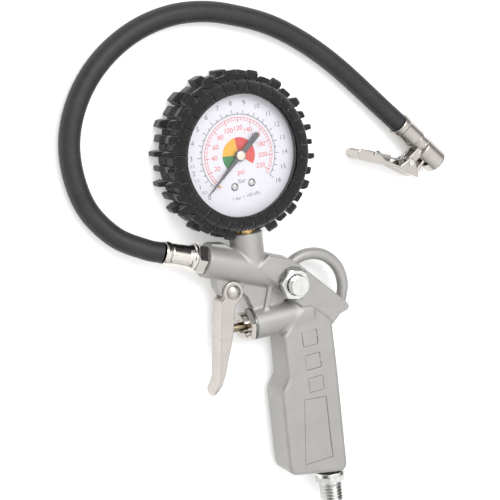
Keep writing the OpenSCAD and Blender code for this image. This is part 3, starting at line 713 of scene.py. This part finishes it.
solid("clip_pin", pin_field, (-2.3, -2.3, -7.2), (2.3, 2.3, 7.2), 0.12, AT_CHUCK @ frame_at(*CLIP_PIN, 0), STEEL,
      "gun", ["chuck_pin"])
coil = [(CLIP_PIN[0] + 2.6 * math.cos(a), CLIP_PIN[1] + 2.6 * math.sin(a), -2.2 + 4.4 * i / 64)
        for i, a in enumerate(np.linspace(1.2, 1.2 + 8.2 * math.pi, 65))]
leg = [(12.5, -15.4, 3.4), (7, -18.4, 4.5), (1.5, -20.9, 5.3), (-2.6, -21.7, 5.9), (-4.6, -21.9, 6.4),
       (-5.6, -23.2, 6.8), (-5.3, -24.6, 6.9)]
wire = [AT_CHUCK @ Vector(p) for p in coil] + [AT_CHUCK @ Vector(p) for p in spline([coil[-1]] + leg, 5)[1:]]
tube("torsion_wire", wire, 0.5, SPRING, "clip", ["chuck_spring"], 10)


# ---------- gauge face ----------
def screw_field(x, y, z):
    across = hypot(x, y)
    dome = np.sqrt(across**2 + (z - 1.4) ** 2) - 2.65
    head = corner(high_of(across - 2.1, dome), 2.75 - z, 0.1)
    head = cut(head, high_of(abs(x * 0.5 + y * 0.866) - 0.25, 3.5 - z), 0.1)
    return low_of(head, rod(z, across, -0.6, 3, 1.05, 0.05))


for number, spot in enumerate([(-4.2, -15.6), (5.6, -14.9)]):
    solid("dial_screw_%d" % (number + 1), screw_field, (-3, -3, -1.2), (3, 3, 4.6), 0.12, frame_at(*spot, 0), STEEL,
          "gun", ["dial_screws"])


def cap_field(x, y, z):
    across = hypot(x, y)
    dome = np.sqrt(across**2 + (z - 1.2) ** 2) - 4.9
    shape = corner(high_of(across - 2.35, dome), 4.95 - z, 0.15)
    return cut(shape, rod(z, across, 5.7, 7, 0.55, 0.05), 0.15)


solid("hub_cap", cap_field, (-3, -3, 4.5), (3, 3, 6.6), 0.12, HERE, CREAM, "needle", ["pointer_cap"])

# angles of the scales, in degrees from +X
ZERO = 224.5
BAR_STEP = -16.4
BAR_MAX = 16
PSI_STEP = BAR_STEP * BAR_MAX / 226
LAST = ZERO + BAR_STEP * BAR_MAX
NUMBER_SIZE = 3.5


class Print:
    """Flat ink shapes on the dial, gathered into one mesh."""

    def __init__(self, height):
        self.points, self.faces, self.height = [], [], height

    def add(self, points, faces):
        start = len(self.points)
        self.points += [(p[0], p[1], self.height) for p in points]
        self.faces += [[start + i for i in face] for face in faces]

    def ring(self, inner, outer, start, end):
        count = max(int(abs(end - start) / 2), 2)
        points = []
        for a in np.radians(np.linspace(start, end, count + 1)):
            points += [(inner * math.cos(a), inner * math.sin(a)), (outer * math.cos(a), outer * math.sin(a))]
        order = (0, 1, 3, 2) if end > start else (0, 2, 3, 1)
        self.add(points, [[2 * i + k for k in order] for i in range(count)])

    def tick(self, angle, inner, outer, width):
        a = math.radians(angle)
        along, side = np.array([math.cos(a), math.sin(a)]), np.array([-math.sin(a), math.cos(a)]) * width / 2
        low, high = along * inner, along * outer
        self.add([low - side, high - side, high + side, low + side], [(0, 1, 2, 3)])

    def text(self, words, x, y, size, turn=0.0, bold=0.0):
        data = bpy.data.curves.new("words", "FONT")
        data.body = words
        data.size = size
        data.align_x = "CENTER"
        data.align_y = "CENTER"
        data.offset = bold
        holder = bpy.data.objects.new("words", data)
        mesh = holder.to_mesh()
        c, s = math.cos(math.radians(turn)), math.sin(math.radians(turn))
        points = [(x + c * v.co.x - s * v.co.y, y + s * v.co.x + c * v.co.y) for v in mesh.vertices]
        self.add(points, [list(face.vertices) for face in mesh.polygons])
        holder.to_mesh_clear()
        bpy.data.objects.remove(holder)
        bpy.data.curves.remove(data)

    def finish(self, name, paint, body="gun"):
        return add_piece(name, self.points, self.faces, HERE, paint, body, ())


PRINT_Z = 2.74
grey = Print(PRINT_Z)
grey.ring(20.55, 20.85, ZERO, LAST)
for i in range(10 * BAR_MAX + 1):
    angle = ZERO + BAR_STEP * i / 10
    reach = 23.1 if i % 10 == 0 else 22 if i % 5 == 0 else 0
    if reach:
        grey.tick(angle, 20.6, reach, 0.34)
    elif i % 2 == 0 and i > 10:
        grey.tick(angle, 20.7, 21.5, 0.2)
for i in range(BAR_MAX + 1):
    a = math.radians(ZERO + BAR_STEP * i)
    grey.text(str(i), 26.5 * math.cos(a), 26.5 * math.sin(a), NUMBER_SIZE)
for value in (0.5, 1.5, 2.5):
    a = math.radians(ZERO + BAR_STEP * value)
    grey.text("%g" % value, 26.3 * math.cos(a), 26.3 * math.sin(a), 2.1)
grey.text("bar", 0.3, -13.1, 3.4)
grey.text("1 bar = 100 kPa", 1.6, -21.3, 2.5, 4)
grey.finish("grey_print", GREY_INK)

red = Print(PRINT_Z)
red.ring(19.05, 19.35, ZERO, LAST)
red.ring(17.8, 18.0, ZERO, LAST)
for i in range(46):
    angle = ZERO + PSI_STEP * 5 * i
    red.tick(angle, 16.4 if i % 4 == 0 else 17.9, 19.2, 0.34 if i % 4 == 0 else 0.2)
for value in range(0, 240, 20):
    a = math.radians(ZERO + PSI_STEP * value)
    red.text(str(value), 13.7 * math.cos(a), 13.7 * math.sin(a), NUMBER_SIZE)
red.text("psi", 0.2, -8.6, 3.8)
red.finish("red_print", RED_INK)

for name, ink, start, end in (
    ("green_zone", GREEN, 225, 176), ("yellow_zone", YELLOW, 176, 99), ("red_zone", RED, 99, -36),
):
    zone = Print(PRINT_Z - 0.01)
    zone.ring(1.8, 9.2, start, end)
    zone.finish(name, ink)

# ---------- CAD nodes that stay ----------
KEPT = {
    "inlet_washer": RUBBER, "cap_washer": DARK, "valve_stem": STEM, "stem_seal": RUBBER, "valve_poppet": RUBBER,
    "bleed_washer": DARK, "bleed_poppet": RUBBER, "gauge_case": BLACK, "bezel": BLACK, "lens_gasket": RUBBER,
    "lens": LENS, "dial": WHITE, "stop_pin": BRASS, "pointer": NEEDLE, "arbor": BRASS, "sector_gear": BRASS,
    "link": BRASS, "hairspring": BRASS, "movement_plates": BRASS, "bourdon_tube": BRASS, "gauge_socket": BRASS,
    "chuck_seal": RUBBER, "core_depressor": BRASS,
}
for name, paint in KEPT.items():
    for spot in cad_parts[name].material_slots:
        spot.material = paint

# ---------- floor and light ----------
FLOOR_HALF = 6
floor_mesh = bpy.data.meshes.new("floor")
floor_mesh.from_pydata([(FLOOR_HALF * i, FLOOR_HALF * j, 0) for i, j in ((-1, -1), (1, -1), (1, 1), (-1, 1))], [],
                       [(0, 1, 2, 3)])
floor = bpy.data.objects.new("floor", floor_mesh)
bpy.context.scene.collection.objects.link(floor)
floor_mesh.materials.append(
    material("floor_paper", (0.86, 0.86, 0.86), (0.88, 0.88, 0.88), 0.9, 0, 3, 400, 0.02, 0.1, specular=0.1,
             glow=0.28)
)


def area_light(name, place, size, power):
    """Soft light that faces the frame's origin."""
    data = bpy.data.lights.new(name, "AREA")
    data.shape = "RECTANGLE"
    data.size, data.size_y = size
    data.energy = power
    made = bpy.data.objects.new(name, data)
    bpy.context.scene.collection.objects.link(made)
    made.location = place
    made.rotation_euler = (-Vector(place)).to_track_quat("-Z", "Y").to_euler()


area_light("key", (0.2, 0.8, 1.5), (1.2, 0.8), 16)
area_light("side", (-1.3, -0.1, 0.45), (0.9, 1.2), 3)

world = bpy.data.worlds.new("studio")
bpy.context.scene.world = world
world.use_nodes = True
nodes, links = world.node_tree.nodes, world.node_tree.links
background = nodes["Background"]
place = nodes.new("ShaderNodeTexCoord")
split = nodes.new("ShaderNodeSeparateXYZ")
links.new(place.outputs["Generated"], split.inputs["Vector"])
sky = nodes.new("ShaderNodeMapRange")
sky.interpolation_type = "SMOOTHSTEP"
sky.inputs["From Min"].default_value = 0.15
sky.inputs["From Max"].default_value = 0.8
sky.inputs["To Min"].default_value = 0.36
sky.inputs["To Max"].default_value = 1.3
links.new(split.outputs["Z"], sky.inputs["Value"])
light = sky.outputs["Result"]


def card(azimuth, elevation, inner, outer, value):
    """Soft round card on the studio's wall that turns the light there to a value."""
    global light
    a, e = math.radians(azimuth), math.radians(elevation)
    dot = nodes.new("ShaderNodeVectorMath")
    dot.operation = "DOT_PRODUCT"
    dot.inputs[1].default_value = (math.cos(a) * math.cos(e), math.sin(a) * math.cos(e), math.sin(e))
    links.new(place.outputs["Generated"], dot.inputs[0])
    share = nodes.new("ShaderNodeMapRange")
    share.interpolation_type = "SMOOTHSTEP"
    share.inputs["From Min"].default_value = math.cos(math.radians(outer))
    share.inputs["From Max"].default_value = math.cos(math.radians(inner))
    links.new(dot.outputs["Value"], share.inputs["Value"])
    blend = nodes.new("ShaderNodeMix")
    links.new(share.outputs["Result"], blend.inputs["Factor"])
    links.new(light, blend.inputs["A"])
    blend.inputs["B"].default_value = value
    light = blend.outputs["Result"]


card(37, 27, 12, 30, 0.06)
card(193, 24, 14, 34, 0.03)
card(120, 18, 8, 24, 0.1)
card(-20, 14, 8, 22, 0.1)
card(-79, 26, 10, 28, 1.0)
seen = nodes.new("ShaderNodeLightPath")
mix = nodes.new("ShaderNodeMix")
mix.inputs["B"].default_value = 1.0
links.new(seen.outputs["Is Camera Ray"], mix.inputs["Factor"])
links.new(light, mix.inputs["A"])
links.new(mix.outputs["Result"], background.inputs["Color"])
background.inputs["Strength"].default_value = 1.0
bpy.context.scene.view_settings.view_transform = "Standard"
